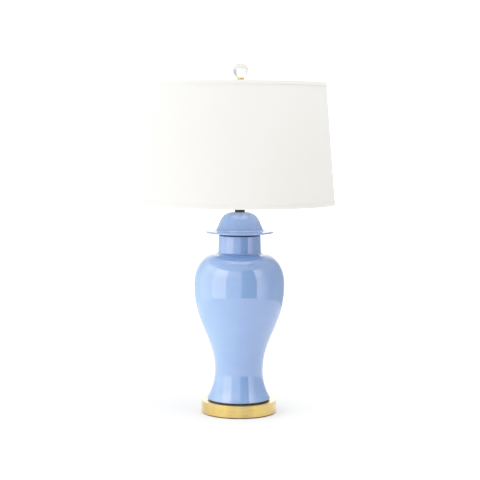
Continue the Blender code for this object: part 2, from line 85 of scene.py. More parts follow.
# The shade's layers, counted inwards from the trim's outer face.
CLOTH = 0.5 * MM
LINER = 0.6 * MM
RING_WIRE = 1.6 * MM
TRIM_HEIGHT = 8 * MM
TRIM_LIP = 4 * MM
LAP_WIDTH = 12 * MM
LAP_RISE = 0.25 * MM
THREAD_SPACING = 0.45 * MM  # of the linen's weave


# ---- shapes ------------------------------------------------------------------------------------


def ends(node):
    """The outer radius, bottom and top of a node that is turned about the lamp's axis."""
    low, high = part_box(node)
    return high.x, low.z, high.z


def bezier(a, b, c, d, count):
    """Points along a cubic curve from a to d, both among them."""
    a, b, c, d = (Vector(p) for p in (a, b, c, d))
    points = []
    for i in range(count + 1):
        t = i / count
        s = 1 - t
        points.append(tuple(a * s**3 + b * 3 * t * s * s + c * 3 * t * t * s + d * t**3))
    return points


def arc(centre, radius, start, end, count):
    """Points along an arc between two angles in degrees, both ends among them."""
    angles = [math.radians(start + (end - start) * i / count) for i in range(count + 1)]
    return [(centre[0] + radius * math.cos(a), centre[1] + radius * math.sin(a)) for a in angles]


def inward(outline, wall):
    """An outline that runs upwards, moved by a wall's thickness towards the axis."""
    moved = []
    for i, point in enumerate(outline):
        before, after = outline[max(i - 1, 0)], outline[min(i + 1, len(outline) - 1)]
        along = (Vector(after) - Vector(before)).normalized()
        moved.append((point[0] - along.y * wall, point[1] + along.x * wall))
    return moved


def rounded(corners, steps=4):
    """An outline from (radius, height, rounding) corners."""
    points = []
    for i, (radius, height, rounding) in enumerate(corners):
        here = Vector((radius, height))
        if rounding == 0:
            points.append((radius, height))
            continue
        before = Vector(corners[i - 1][:2]) - here
        after = Vector(corners[(i + 1) % len(corners)][:2]) - here
        reach = min(rounding, before.length * 0.49, after.length * 0.49)
        start = here + before.normalized() * reach
        end = here + after.normalized() * reach
        for step in range(steps + 1):
            t = step / steps
            points.append(tuple(start * (1 - t) ** 2 + here * 2 * t * (1 - t) + end * t * t))
    return points


def spaced(low, high, step):
    """Evenly spaced numbers from low to high, about a step apart."""
    count = max(1, round((high - low) / step))
    return [low + (high - low) * i / count for i in range(count + 1)]


def mesh_object(name, bm):
    """A smooth-shaded object from a bmesh, with weighted normals so that flat faces stay flat."""
    bmesh.ops.recalc_face_normals(bm, faces=bm.faces)
    mesh = bpy.data.meshes.new(name)
    bm.to_mesh(mesh)
    bm.free()
    made = bpy.data.objects.new(name, mesh)
    bpy.context.scene.collection.objects.link(made)
    smooth(made)
    return made


def smooth(made):
    """Smooth shading that keeps the sharp edges."""
    made.data.shade_smooth()
    made.data.set_sharp_from_angle(angle=math.radians(40))
    normals = made.modifiers.new("normals", "WEIGHTED_NORMAL")
    normals.keep_sharp = True


def lathe(name, outline, sides=FINE, offset=None, at=(0, 0, 0), along=None):
    """A turned piece from (radius, height) points, closed as a ring where it doesn't meet the axis.

    offset(angle, radius, height) is added to the radius. The UVs are metres round and along the outline.
    """
    bm = bmesh.new()
    uv = bm.loops.layers.uv.new("metres")
    angles = [REAR + TAU * i / sides for i in range(sides)]
    widest = max(radius for radius, _ in outline)
    rings, travelled, last = [], [], None
    for radius, height in outline:
        step = math.dist(last, (radius, height)) if last else 0
        travelled.append((travelled[-1] if travelled else 0) + step)
        last = (radius, height)
        ring = []
        for a in angles if radius > 0 else [0]:
            r = radius + (offset(a - REAR, radius, height) if offset else 0)
            ring.append(bm.verts.new((r * math.cos(a), r * math.sin(a), height)))
        rings.append(ring)
    spans = [(k, k + 1) for k in range(len(rings) - 1)]
    if outline[0][0] > 0 and outline[-1][0] > 0:
        spans.append((len(rings) - 1, 0))
        travelled.append(travelled[-1] + math.dist(outline[-1], outline[0]))
    for low, high in spans:
        high_v = travelled[low + 1]
        for i in range(sides):
            corners = {}
            for ring, k, v in (
                (rings[low], i, travelled[low]),
                (rings[low], i + 1, travelled[low]),
                (rings[high], i + 1, high_v),
                (rings[high], i, high_v),
            ):
                corners.setdefault(ring[k % len(ring)], (k / sides * TAU * widest, v))
            if len(corners) < 3:
                continue
            face = bm.faces.new(list(corners))
            for loop in face.loops:
                loop[uv].uv = corners[loop.vert]
    made = mesh_object(name, bm)
    made.location = at
    if along:
        made.rotation_euler = Vector((0, 0, 1)).rotation_difference(Vector(along)).to_euler()
    return made


def sweep(name, path, radius, sides=20, rounding=0.5):
    """A round wire along points, with domed ends; rounding is the dome's height over the radius."""
    points = [Vector(p) for p in path]
    first, last = (points[0] - points[1]).normalized(), (points[-1] - points[-2]).normalized()
    dome = [(math.sin(a), math.cos(a)) for a in (0.25, 0.6, 0.95, 1.25)]
    start = [(points[0] - first * radius * rounding * (1 - up), share) for share, up in dome]
    end = [(points[-1] - last * radius * rounding * (1 - up), share) for share, up in reversed(dome)]
    run = start + [(p, 1.0) for p in points[1:-1]] + end
    bm = bmesh.new()
    uv = bm.loops.layers.uv.new("metres")
    side = (run[-1][0] - run[0][0]).orthogonal().normalized()
    rings, travelled = [], []
    for i, (place, share) in enumerate(run):
        before, after = run[max(i - 1, 0)][0], run[min(i + 1, len(run) - 1)][0]
        forward = (after - before).normalized()
        side = (side - forward * side.dot(forward)).normalized()
        other = forward.cross(side)
        step = (place - before).length if i else 0
        travelled.append((travelled[-1] if travelled else 0) + step)
        ring = []
        for k in range(sides):
            a = TAU * k / sides
            ring.append(bm.verts.new(place + (side * math.cos(a) + other * math.sin(a)) * radius * share))
        rings.append(ring)
    for i in range(len(rings) - 1):
        for k in range(sides):
            j = (k + 1) % sides
            face = bm.faces.new((rings[i][k], rings[i][j], rings[i + 1][j], rings[i + 1][k]))
            across = (k, k + 1, k + 1, k)
            runs = (travelled[i], travelled[i], travelled[i + 1], travelled[i + 1])
            for loop, c, v in zip(face.loops, across, runs):
                loop[uv].uv = (c / sides * TAU * radius, v)
    bm.faces.new(rings[0])
    bm.faces.new(rings[-1])
    return mesh_object(name, bm)


def bored(piece, start, along, radius, length):
    """Cuts a round hole through a piece and keeps the result as its mesh."""
    outline = [(0, 0), (radius, 0), (radius, length), (0, length)]
    cutter = lathe(f"{piece.name}_cutter", outline, SMALL, None, start, along)
    cut = piece.modifiers.new("hole", "BOOLEAN")
    cut.object = cutter
    graph = bpy.context.evaluated_depsgraph_get()
    mesh = bpy.data.meshes.new_from_object(piece.evaluated_get(graph))
    piece.modifiers.clear()
    piece.data = mesh
    smooth(piece)
    bpy.data.objects.remove(cutter)


def place(piece, body, slot, look, *stands_for):
    """Gives a piece its material and its body, and hides the CAD nodes that it stands for; the slot is not
    used.
    """
    piece.data.materials.clear()
    piece.data.materials.append(look)
    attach(piece, body)
    if stands_for:
        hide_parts(*stands_for)
    return piece


# ---- material tools ----------------------------------------------------------------------------


def new_look(name, values):
    """A material with plain values on its Principled shader's own sockets."""
    made = bpy.data.materials.new(name)
    made.use_nodes = True
    shader = made.node_tree.nodes["Principled BSDF"]
    for socket, value in values.items():
        shader.inputs[socket].default_value = value
    return made, made.node_tree, shader


def node(tree, kind, inputs=None, **settings):
    """Adds a node, sets its properties, and sets or links its inputs."""
    made = tree.nodes.new(kind)
    for key, value in settings.items():
        setattr(made, key, value)
    for key, value in (inputs or {}).items():
        if isinstance(value, bpy.types.NodeSocket):
            tree.links.new(value, made.inputs[key])
        else:
            made.inputs[key].default_value = value
    return made


def coordinates(tree, kind, scale=(1, 1, 1), turn=0.0):
    """Texture coordinates, stretched and turned about Z."""
    source = node(tree, "ShaderNodeTexCoord").outputs[kind]
    inputs = {"Vector": source, "Scale": scale, "Rotation": (0, 0, turn)}
    return node(tree, "ShaderNodeMapping", inputs).outputs["Vector"]


def noise(tree, vector, scale, detail=2.0, roughness=0.5):
    """Noise as a number from 0 to 1."""
    inputs = {"Vector": vector, "Scale": scale, "Detail": detail, "Roughness": roughness}
    return node(tree, "ShaderNodeTexNoise", inputs).outputs["Fac"]


def remap(tree, value, low, high, to_low=0.0, to_high=1.0):
    """A number taken from one range to another, and held at its ends."""
    inputs = {"Value": value, "From Min": low, "From Max": high, "To Min": to_low, "To Max": to_high}
    return node(tree, "ShaderNodeMapRange", inputs).outputs["Result"]


def math_node(tree, operation, a, b=0.0):
    return node(tree, "ShaderNodeMath", {0: a, 1: b}, operation=operation).outputs["Value"]


def mix(tree, share, a, b):
    """A colour between a and b. The numbers are the Mix node's sockets for a factor and two colours."""
    made = node(tree, "ShaderNodeMix", {0: share, 6: colour(a), 7: colour(b)}, data_type="RGBA")
    return made.outputs[2]


def colour(value):
    """A colour as a node socket takes it: a link as it is, or three numbers with a full alpha."""
    return value if isinstance(value, bpy.types.NodeSocket) else (*value, 1.0)


def bump(tree, height, distance, strength=1.0, under=None):
    """A normal raised by a height, over another bump where there is one."""
    inputs = {"Height": height, "Distance": distance, "Strength": strength}
    if under:
        inputs["Normal"] = under
    return node(tree, "ShaderNodeBump", inputs).outputs["Normal"]


def wire_up(tree, shader, links):
    """Links outputs to the shader's sockets by their names."""
    for socket, value in links.items():
        tree.links.new(value, shader.inputs[socket])


# ---- materials ---------------------------------------------------------------------------------


def glaze_look():
    """Pale blue glaze: soft mottling, faint pinholes, a wavy gloss, and a paler break at thin edges."""
    made, tree, shader = new_look("pale_blue_glaze", {"IOR": 2.0, "Specular Tint": (1.0, 0.86, 0.95, 1.0)})
    where = coordinates(tree, "Object")
    clouds = noise(tree, where, 11.0, 3.0)
    grain = noise(tree, where, 240.0, 2.0)
    deep = (0.19, 0.322, 0.58)
    pale = (0.22, 0.36, 0.62)
    body = mix(tree, remap(tree, clouds, 0.3, 0.7), deep, pale)
    body = mix(tree, remap(tree, grain, 0.35, 0.75, 0.0, 0.12), body, (0.27, 0.4, 0.63))
    pores = node(tree, "ShaderNodeTexVoronoi", {"Vector": where, "Scale": 260.0}).outputs["Distance"]
    pore = remap(tree, pores, 0.03, 0.09, 0.16, 0.0)
    body = mix(tree, pore, body, (0.12, 0.24, 0.5))
    thin = node(tree, "ShaderNodeNewGeometry").outputs["Pointiness"]
    body = mix(tree, remap(tree, thin, 0.56, 0.7, 0.0, 0.55), body, (0.62, 0.74, 0.9))
    waves = bump(tree, noise(tree, where, 26.0, 1.0), 0.2 * MM, 0.3)
    peel = bump(tree, noise(tree, where, 300.0, 1.0), 0.006 * MM, 0.4, waves)
    gloss = remap(tree, clouds, 0.3, 0.7, 0.02, 0.035)
    wire_up(tree, shader, {"Base Color": body, "Roughness": gloss, "Normal": peel})
    return made


def turned_metal_look(name, bright, dull, smooth, rough, brushing, coat=0.0):
    """Turned metal: fine lines round the piece, a slow change of tone, and maybe a clear lacquer."""
    values = {
        "Metallic": 1.0,
        "Anisotropic": 0.85,
        "Anisotropic Rotation": 0.25,
        "Coat Weight": coat,
        "Coat Roughness": 0.06,
        "Coat IOR": 1.8,
    }
    made, tree, shader = new_look(name, values)
    lines = noise(tree, coordinates(tree, "UV", (3, 2600, 1)), 1.0, 3.0, 0.7)
    clouds = noise(tree, coordinates(tree, "Object"), 38.0, 2.0)
    tone = mix(tree, remap(tree, clouds, 0.3, 0.7), dull, bright)
    tone = mix(tree, remap(tree, lines, 0.3, 0.8, 0.0, 0.18), tone, dull)
    tangent = node(tree, "ShaderNodeTangent", direction_type="UV_MAP", uv_map="metres").outputs["Tangent"]
    links = {
        "Base Color": tone,
        "Roughness": remap(tree, lines, 0.25, 0.75, smooth, rough),
        "Normal": bump(tree, lines, brushing),
        "Tangent": tangent,
    }
    wire_up(tree, shader, links)
    return made


def plain_metal_look():
    """Zinc-plated steel, for what is hidden in the base and the socket."""
    made, tree, shader = new_look("zinc_plated_steel", {"Metallic": 1.0})
    spangle = noise(tree, coordinates(tree, "Object"), 300.0, 2.0)
    tone = mix(tree, spangle, (0.5, 0.5, 0.49), (0.68, 0.68, 0.66))
    wire_up(tree, shader, {"Base Color": tone, "Roughness": remap(tree, spangle, 0.3, 0.7, 0.25, 0.4)})
    return made


def brass_node_look():
    """Brass for carried-over CAD nodes, which have no UVs."""
    made, tree, shader = new_look("brass_fitting", {"Metallic": 1.0})
    grain = noise(tree, coordinates(tree, "Object", (1, 1, 6)), 260.0, 2.0)
    tone = mix(tree, grain, (0.72, 0.53, 0.24), (0.86, 0.69, 0.37))
    wire_up(tree, shader, {"Base Color": tone, "Roughness": remap(tree, grain, 0.3, 0.7, 0.22, 0.36)})
    return made


def felt_look():
    """Pressed black wool felt: matted fibres and a soft sheen."""
    values = {"Roughness": 0.95, "Sheen Weight": 0.35, "Sheen Roughness": 0.5}
    made, tree, shader = new_look("black_felt", values)
    where = coordinates(tree, "Object")
    fibres = noise(tree, where, 900.0, 4.0, 0.7)
    mats = noise(tree, where, 120.0, 3.0)
    tone = mix(tree, fibres, (0.008, 0.008, 0.009), (0.03, 0.029, 0.028))
    nap = bump(tree, math_node(tree, "ADD", fibres, mats), 0.3 * MM)
    wire_up(tree, shader, {"Base Color": tone, "Normal": nap})
    return made


def linen_look(name, turn=0.0):
    """Off-white plain-weave linen: warp and weft ridges with slubs in both directions, and painted shade in
    the valleys between the threads.
    """
    values = {"Roughness": 0.88, "Sheen Weight": 0.12, "Specular IOR Level": 0.25}
    made, tree, shader = new_look(name, values)
    where = coordinates(tree, "UV", (1, 1, 1), turn)
    drift = math_node(tree, "MULTIPLY", noise(tree, where, 160.0, 2.0), 0.0006)
    wander = node(tree, "ShaderNodeVectorMath", {0: where, 1: drift}, operation="ADD").outputs["Vector"]
    bands = TAU / 20 / THREAD_SPACING
    threads = []
    for direction in ("X", "Y"):
        wave = node(tree, "ShaderNodeTexWave", {"Vector": wander, "Scale": bands}, bands_direction=direction)
        threads.append(wave.outputs["Fac"])
    weave = math_node(tree, "MULTIPLY", *threads)
    slubs = []
    for stretch in ((22, 1300, 1), (1300, 22, 1)):
        streaks = noise(tree, coordinates(tree, "UV", stretch, turn), 1.0, 2.0, 0.6)
        slubs.append(remap(tree, streaks, 0.56, 0.78))
    slub = math_node(tree, "MAXIMUM", *slubs)
    ground = (0.733, 0.725, 0.688)
    tone = mix(tree, math_node(tree, "MULTIPLY", slub, 0.3), ground, (0.7, 0.68, 0.63))
    # Painted shade: the valleys between the threads are darkened.
    tone = mix(tree, remap(tree, weave, 0.0, 1.0, 0.16, 0.0), tone, (0.64, 0.625, 0.58))
    ridges = bump(tree, weave, 0.09 * MM, 0.55)
    wire_up(tree, shader, {"Base Color": tone, "Normal": bump(tree, slub, 0.12 * MM, 0.5, ridges)})
    return made


def styrene_look():
    """The shade's stiff white liner: smooth sheet with a faint calendered grain."""
    made, tree, shader = new_look("white_styrene", {"IOR": 1.55})
    grain = noise(tree, coordinates(tree, "Object", (1, 1, 0.2)), 500.0, 2.0)
    tone = mix(tree, grain, (0.83, 0.825, 0.8), (0.88, 0.875, 0.85))
    links = {
        "Base Color": tone,
        "Roughness": remap(tree, grain, 0.3, 0.7, 0.4, 0.5),
        "Normal": bump(tree, grain, 0.01 * MM),
    }
    wire_up(tree, shader, links)
    return made


def opal_look():
    """The bulb's glass, frosted white on its inside."""
    values = {"IOR": 1.5, "Coat Weight": 0.6, "Coat Roughness": 0.05}
    made, tree, shader = new_look("opal_bulb_glass", values)
    frost = noise(tree, coordinates(tree, "Object"), 90.0, 3.0)
    tone = mix(tree, frost, (0.88, 0.88, 0.86), (0.93, 0.93, 0.92))
    wire_up(tree, shader, {"Base Color": tone, "Roughness": remap(tree, frost, 0.3, 0.7, 0.35, 0.5)})
    return made


def clear_glass_look():
    """Solid clear glass with a trace of green."""
    values = {"Transmission Weight": 1.0, "IOR": 1.52, "Roughness": 0.0}
    made, tree, shader = new_look("clear_glass", values)
    seed = noise(tree, coordinates(tree, "Object"), 60.0, 2.0)
    tone = mix(tree, seed, (0.955, 0.975, 0.95), (0.985, 0.99, 0.98))
    wire_up(tree, shader, {"Base Color": tone, "Normal": bump(tree, seed, 0.02 * MM, 0.3)})
    return made


def moulded_look(name, dark, light, smooth, rough, coat=0.0):
    """A moulded plastic or fibre, with a fine grain."""
    made, tree, shader = new_look(name, {"Coat Weight": coat, "Coat Roughness": 0.1})
    where = coordinates(tree, "Object")
    grain = noise(tree, where, 700.0, 3.0)
    flow = noise(tree, where, 60.0, 3.0)
    tone = mix(tree, flow, dark, light)
    links = {
        "Base Color": tone,
        "Roughness": remap(tree, grain, 0.3, 0.7, smooth, rough),
        "Normal": bump(tree, grain, 0.02 * MM),
    }
    wire_up(tree, shader, links)
    return made


GLAZE = glaze_look()
BRASS = turned_metal_look(
    "satin_brass", (0.72, 0.52, 0.165), (0.64, 0.44, 0.12), 0.24, 0.3, 0.004 * MM, coat=0.6
)
FITTING = turned_metal_look("fitting_brass", (0.88, 0.72, 0.4), (0.76, 0.57, 0.27), 0.2, 0.34, 0.01 * MM)
# The neck collar's brass, coloured near-black: painted shade and painted dark reflection on a brass piece.
SHADED_BRASS = turned_metal_look("dark_bronze", (0.09, 0.065, 0.04), (0.03, 0.02, 0.012), 0.25, 0.4, 0.01 * MM)
NICKEL = turned_metal_look("nickel_plated", (0.72, 0.7, 0.66), (0.55, 0.54, 0.5), 0.2, 0.32, 0.01 * MM)
CAD_BRASS = brass_node_look()
STEEL = plain_metal_look()
FELT = felt_look()
LINEN = linen_look("shade_linen")
LINEN_BIAS = linen_look("trim_linen", math.radians(45))
STYRENE = styrene_look()
OPAL = opal_look()
CLEAR = clear_glass_look()
NYLON = moulded_look("black_nylon", (0.02, 0.02, 0.02), (0.035, 0.035, 0.034), 0.4, 0.55)
PHENOLIC = moulded_look("black_phenolic", (0.014, 0.011, 0.009), (0.035, 0.027, 0.02), 0.22, 0.32, 0.5)
FIBRE = moulded_look("grey_fibre", (0.24, 0.22, 0.19), (0.36, 0.33, 0.29), 0.8, 0.95)


# ---- the base ----------------------------------------------------------------------------------


def base():
    """The felt pad, the brass plinth with its bored inlet, and the bushing in it."""
    radius, bottom, top = ends("base_felt")

    def scissored(angle, r, _):
        """The small waver of an edge cut with scissors."""
        return 0.12 * MM * math.sin(37 * angle) * math.sin(11 * angle + 2) if r > radius * 0.9 else 0

    pad = rounded([(0, bottom, 0), (radius, bottom, 0.5 * MM), (radius, top, 0.5 * MM), (0, top, 0)])
    place(lathe("felt_pad", pad, FINE, scissored), "lamp_stand", "felt", FELT, "base_felt")

    radius, bottom, top = ends("base_plinth")
    wall = 4 * MM
    corners = [
        (radius - wall, bottom, 0.4 * MM),
        (radius, bottom, 1.3 * MM),
        (radius, top, 1.1 * MM),
        (PIPE_HOLE, top, 0.3 * MM),
        (PIPE_HOLE, top - wall, 0.3 * MM),
        (radius - wall, top - wall, 1.5 * MM),
    ]
    plinth = lathe("brass_plinth", rounded(corners, 6), FINE)
    low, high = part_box("cord_bushing")
    inlet = (low.z + high.z) / 2
    bored(plinth, (0, radius - 2.5 * wall, inlet), (0, 1, 0), 5.3 * MM, 4 * wall)
    place(plinth, "lamp_stand", "brass", BRASS, "base_plinth")

    bore, neck, clip, flange = 3.4 * MM, 4.9 * MM, 6.4 * MM, high.x
    clip_top = low.y + 1.8 * MM
    flange_back = radius + GAP
    corners = [
        (bore, low.y, 0.3 * MM),
        (clip, low.y, 0.6 * MM),
        (clip, clip_top, 0.3 * MM),
        (neck, clip_top, 0),
        (neck, flange_back, 0),
        (flange, flange_back, 0.3 * MM),
        (flange, high.y - 0.6 * MM, 0.7 * MM),
        (flange - 1.5 * MM, high.y, 0.5 * MM),
        (bore, high.y, 1.0 * MM),
    ]
    bushing = lathe("inlet_bushing", rounded(corners), SMALL, None, (0, 0, inlet), (0, 1, 0))
    place(bushing, "lamp_stand", "nylon", NYLON, "cord_bushing")


# ---- the jar and its lid -----------------------------------------------------------------------


def shoulder(belly_radius, count):
    """The rounded shoulder, a superellipse from the belly's widest point to the nearly flat top."""
    reach = belly_radius - SHOULDER_CENTRE
    last = ((SHOULDER_END - SHOULDER_CENTRE) / reach) ** (SHOULDER_POWER / 2)
    points = []
    for i in range(count + 1):
        side = 1 - (1 - last) * (i / count) ** 2
        out = SHOULDER_CENTRE + reach * side ** (2 / SHOULDER_POWER)
        up = BELLY_HEIGHT + SHOULDER_RISE * (1 - side**2) ** (1 / SHOULDER_POWER)
        points.append((out, up))
    return points


def jar():
    """The hollow jar, from its foot's round over the waist, belly and shoulder to the neck."""
    belly_radius, bottom, top = ends("jar")
    heel = (FOOT_RADIUS, bottom + FOOT_ROUND)
    waist = (WAIST_RADIUS, WAIST_HEIGHT)
    widest = (belly_radius, BELLY_HEIGHT)
    foot = bezier(heel, (61.9 * MM, 49.5 * MM), (WAIST_RADIUS, 70.4 * MM), waist, 28)
    belly = bezier(waist, (WAIST_RADIUS, 171.6 * MM), (belly_radius, 199 * MM), widest, 44)
    crown = shoulder(belly_radius, 30)
    throat = (NECK_RADIUS - 0.1 * MM, NECK_BOTTOM + 1.5 * MM)
    fillet = bezier(crown[-1], (54 * MM, 360.8 * MM), (NECK_RADIUS, 360.9 * MM), throat, 18)
    lip = NECK_LIP
    neck_top = top - 2.4 * MM
    neck = [
        (throat[0] + (lip - throat[0]) * share, throat[1] + (neck_top - throat[1]) * share)
        for share in (0.2, 0.4, 0.6, 0.8, 1.0)
    ]
    side = foot + belly[1:] + crown[1:] + fillet[1:] + neck
    rim = bezier(side[-1], (lip, top - 0.6 * MM), (lip - 0.6 * MM, top), (lip - 2.2 * MM, top), 6)
    floor = bottom + 7 * MM
    inside = [p for p in reversed(inward(side, JAR_WALL)[::2]) if p[1] > floor + 5 * MM]
    under, beside = (FOOT_RADIUS - 1.4 * MM, bottom), (FOOT_RADIUS + 0.4 * MM, bottom + 1.6 * MM)
    outline = [
        (PIPE_HOLE, bottom),
        (FOOT_RADIUS - 12 * MM, bottom),
        *bezier((FOOT_RADIUS - FOOT_ROUND, bottom), under, beside, heel, 7),
        *side[1:],
        *rim[1:],
        (lip - JAR_WALL + 1 * MM, top),
        *inside,
        (inside[-1][0] - 3 * MM, floor),
        (PIPE_HOLE, floor),
    ]

    def hand(angle, radius, height):
        """The slight unevenness of a slip-cast wall."""
        return 0.12 * MM * math.sin(2 * angle + height * 9) + 0.06 * MM * math.sin(5 * angle - height * 23)

    place(lathe("glazed_jar", outline, FINE, hand), "lamp_stand", "glaze", GLAZE, "jar")
    # Black felt rings under the jar's foot and between the neck and the lid's brim: real cushioning washers,
    # made black to paint the shade in the gaps there.
    for name, cad in (("foot_felt_and_shade_ring", "foot_gasket"), ("lid_felt_and_shade_ring", "lid_gasket")):
        radius, low, high = ends(cad)
        inner = radius - 7 * MM
        edge = 0.25 * MM
        ring = [(inner, low, edge), (radius, low, edge), (radius, high, edge), (inner, high, edge)]
        place(lathe(name, rounded(ring, 2), FINE), "lamp_stand", "felt", FELT, cad)


def lid():
    """The lid: the rim inside the neck, the thin brim with its round edge, and the dome."""
    brim, rim_bottom, top = ends("lid")
    rim_outer = NECK_LIP - JAR_WALL - 0.5 * MM
    rim_inner = rim_outer - 4 * MM
    edge = BRIM_THICKNESS / 2
    round_edge = arc((brim - edge, BRIM_BOTTOM + edge), edge, -90, 84, 14)
    cove = bezier(round_edge[-1], (60 * MM, 412.4 * MM), (53 * MM, 411.6 * MM), DOME_START, 18)
    dome = bezier(DOME_START, (44.5 * MM, 429.4 * MM), (45.2 * MM, 456.6 * MM), (PIPE_HOLE, top), 40)
    inside = list(reversed(inward(dome, LID_WALL)[:-2:3]))
    outline = [
        (rim_inner, rim_bottom + 1 * MM),
        (rim_inner + 1 * MM, rim_bottom),
        (rim_outer - 1 * MM, rim_bottom),
        (rim_outer, rim_bottom + 1 * MM),
        (rim_outer, BRIM_BOTTOM - 0.6 * MM),
        (rim_outer + 0.6 * MM, BRIM_BOTTOM),
        *round_edge,
        *cove[1:],
        *dome[1:],
        (PIPE_HOLE, top - LID_WALL),
        *inside,
        (rim_inner, 415 * MM),
    ]
    place(lathe("glazed_lid", outline, FINE), "lamp_stand", "glaze", GLAZE, "lid")


# ---- the socket, switch and bulb ---------------------------------------------------------------


def socket():
    """The collar, and the socket's cap and shell with their beads and crimped edges."""
    radius, bottom, top = ends("neck_collar")
    corners = [
        (PIPE_HOLE, bottom, 0),
        (radius, bottom, 0.5 * MM),
        (radius, bottom + 2.2 * MM, 0.4 * MM),
        (radius - 0.7 * MM, bottom + 2.8 * MM, 0.3 * MM),
        (radius - 0.7 * MM, top - 1.6 * MM, 0.3 * MM),
        (radius - 0.1 * MM, top - 1.1 * MM, 0.3 * MM),
        (radius - 0.1 * MM, top, 0.4 * MM),
        (PIPE_HOLE, top, 0),
    ]
    # The collar is brass; its near-black colour is painted shade.
    place(lathe("shade_darkened_brass_collar", rounded(corners), ROUND), "lamp_stand", "bronze", SHADED_BRASS, "neck_collar")

    radius, bottom, top = ends("socket_cap")
    wall = 0.9 * MM
    bowl = bottom + 6 * MM
    corners = [
        (PIPE_HOLE, bottom, 0.2 * MM),
        (8.5 * MM, bottom, 0.5 * MM),
        (8.5 * MM, bowl - 1 * MM, 1.2 * MM),
        (radius - 2 * MM, bowl + 3 * MM, 3.5 * MM),
        (radius, bowl + 7 * MM, 2 * MM),
        (radius, top - 2.6 * MM, 0.3 * MM),
        (radius - 0.25 * MM, top - 2.2 * MM, 0.2 * MM),
        (radius, top - 1.8 * MM, 0.3 * MM),
        (radius, top, 0.4 * MM),
        (radius - wall, top, 0.3 * MM),
        (radius - wall, bowl + 7.4 * MM, 2 * MM),
        (radius - 2 * MM - wall, bowl + 3.8 * MM, 3 * MM),
        (8 * MM, bowl + 0.5 * MM, 0.5 * MM),
        (PIPE_HOLE, bowl + 0.5 * MM, 0.2 * MM),
    ]
    place(lathe("brass_socket_cap", rounded(corners), ROUND), "lamp_stand", "brass", FITTING, "socket_cap")

    flare, bottom, top = ends("socket_shell")
    outer = flare - 1.6 * MM
    corners = [(outer - wall, bottom, 0.3 * MM), (outer, bottom, 0.3 * MM), (outer, top - 17 * MM, 0)]
    for bead in (16 * MM, 12.5 * MM):
        low = top - bead
        corners += [
            (outer, low, 0.4 * MM),
            (outer + 0.5 * MM, low + 0.6 * MM, 0.5 * MM),
            (outer, low + 1.2 * MM, 0.4 * MM),
        ]
    corners += [
        (outer, top - 5 * MM, 1.5 * MM),
        (flare, top, 0.3 * MM),
        (flare - 0.7 * MM, top, 0.3 * MM),
        (outer - wall, top - 5 * MM, 1.5 * MM),
    ]
    shell = lathe("brass_socket_shell", rounded(corners), ROUND)
    low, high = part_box("switch_knob")
    height = (low.z + high.z) / 2
    bored(shell, (0, -10 * MM, height), (0, -1, 0), 2.6 * MM, 12 * MM)
    place(shell, "lamp_stand", "brass", FITTING, "socket_shell")

    half, depth = high.x, high.y - low.y
    bore, bore_depth = 2.1 * MM, 10.3 * MM
    flutes = 14

    def fluted(angle, radius, along):
        grip = 3 * MM < along < depth - 2 * MM and radius > half * 0.7
        return -0.35 * MM * (0.5 - 0.5 * math.cos(flutes * angle)) if grip else 0

    grip_steps = [(half - 0.2 * MM, z) for z in spaced(3 * MM, depth - 2 * MM, 1 * MM)]
    outline = [
        (bore, 0),
        (4.0 * MM, 0),
        (4.5 * MM, 0.4 * MM),
        (4.6 * MM, 1.6 * MM),
        *grip_steps,
        (half - 0.3 * MM, depth - 1.2 * MM),
        (half - 1 * MM, depth - 0.3 * MM),
        (half - 2 * MM, depth),
        (0, depth),
        (0, bore_depth),
        (bore, bore_depth),
    ]
    knob = lathe("fluted_knob", outline, ROUND, fluted, (0, high.y, height), (0, -1, 0))
    place(knob, "switch", "phenolic", PHENOLIC, "switch_knob")


def bulb():
    """The frosted glass, the threaded base, its black insulator and the tip."""
    radius, bottom, top = ends("bulb_base")
    insulator_top = bottom + 4 * MM
    corners = [
        (0, bottom, 0),
        (5.5 * MM, bottom, 0.6 * MM),
        (radius - 2.4 * MM, insulator_top, 0.6 * MM),
        (0, insulator_top, 0),
    ]
    place(lathe("bulb_insulator", rounded(corners), SMALL), "bulb", "phenolic", PHENOLIC)

    def thread(angle, r, height):
        if r < radius * 0.99:
            return 0
        inside = min(height - insulator_top - 1.5 * MM, top - 3.5 * MM - height) / (1.5 * MM)
        share = min(max(inside, 0), 1)
        wave = 0.5 + 0.5 * math.cos(TAU * height / THREAD_PITCH - angle)
        return -THREAD_DEPTH * wave * share

    wall_line = [(radius, z) for z in spaced(insulator_top + 0.9 * MM, top - 0.5 * MM, 0.35 * MM)]
    outline = [
        (0, insulator_top + 0.1 * MM),
        (radius - 1.2 * MM, insulator_top + 0.1 * MM),
        *wall_line,
        (radius - 0.6 * MM, top),
        (0, top),
    ]
    place(lathe("bulb_screw_base", outline, ROUND, thread), "bulb", "steel", NICKEL, "bulb_base")

    tip, low, high = ends("bulb_tip")
    outline = [
        (0, low),
        (1.5 * MM, low + 0.1 * MM),
        (tip - 1.4 * MM, low + 0.8 * MM),
        (tip, high),
        (0, high),
    ]
    place(lathe("bulb_solder_tip", outline, SMALL), "bulb", "steel", NICKEL, "bulb_tip")

    wide, neck, crown_top = ends("bulb_glass")
    centre = crown_top - wide
    widest = (wide, centre)
    flank = bezier((13.4 * MM, neck), (14 * MM, neck + 16 * MM), (wide, centre - 22 * MM), widest, 26)
    crown = arc((0, centre), wide, 0, 90, 22)
    outside = flank + crown[1:-1]
    inside = list(reversed(inward(outside, 1 * MM)[::2]))
    outline = [(0, crown_top - 1 * MM), *inside, *outside, (0, crown_top)]
    place(lathe("frosted_bulb", outline, ROUND), "bulb", "opal_glass", OPAL, "bulb_glass")


# ---- the harp ----------------------------------------------------------------------------------


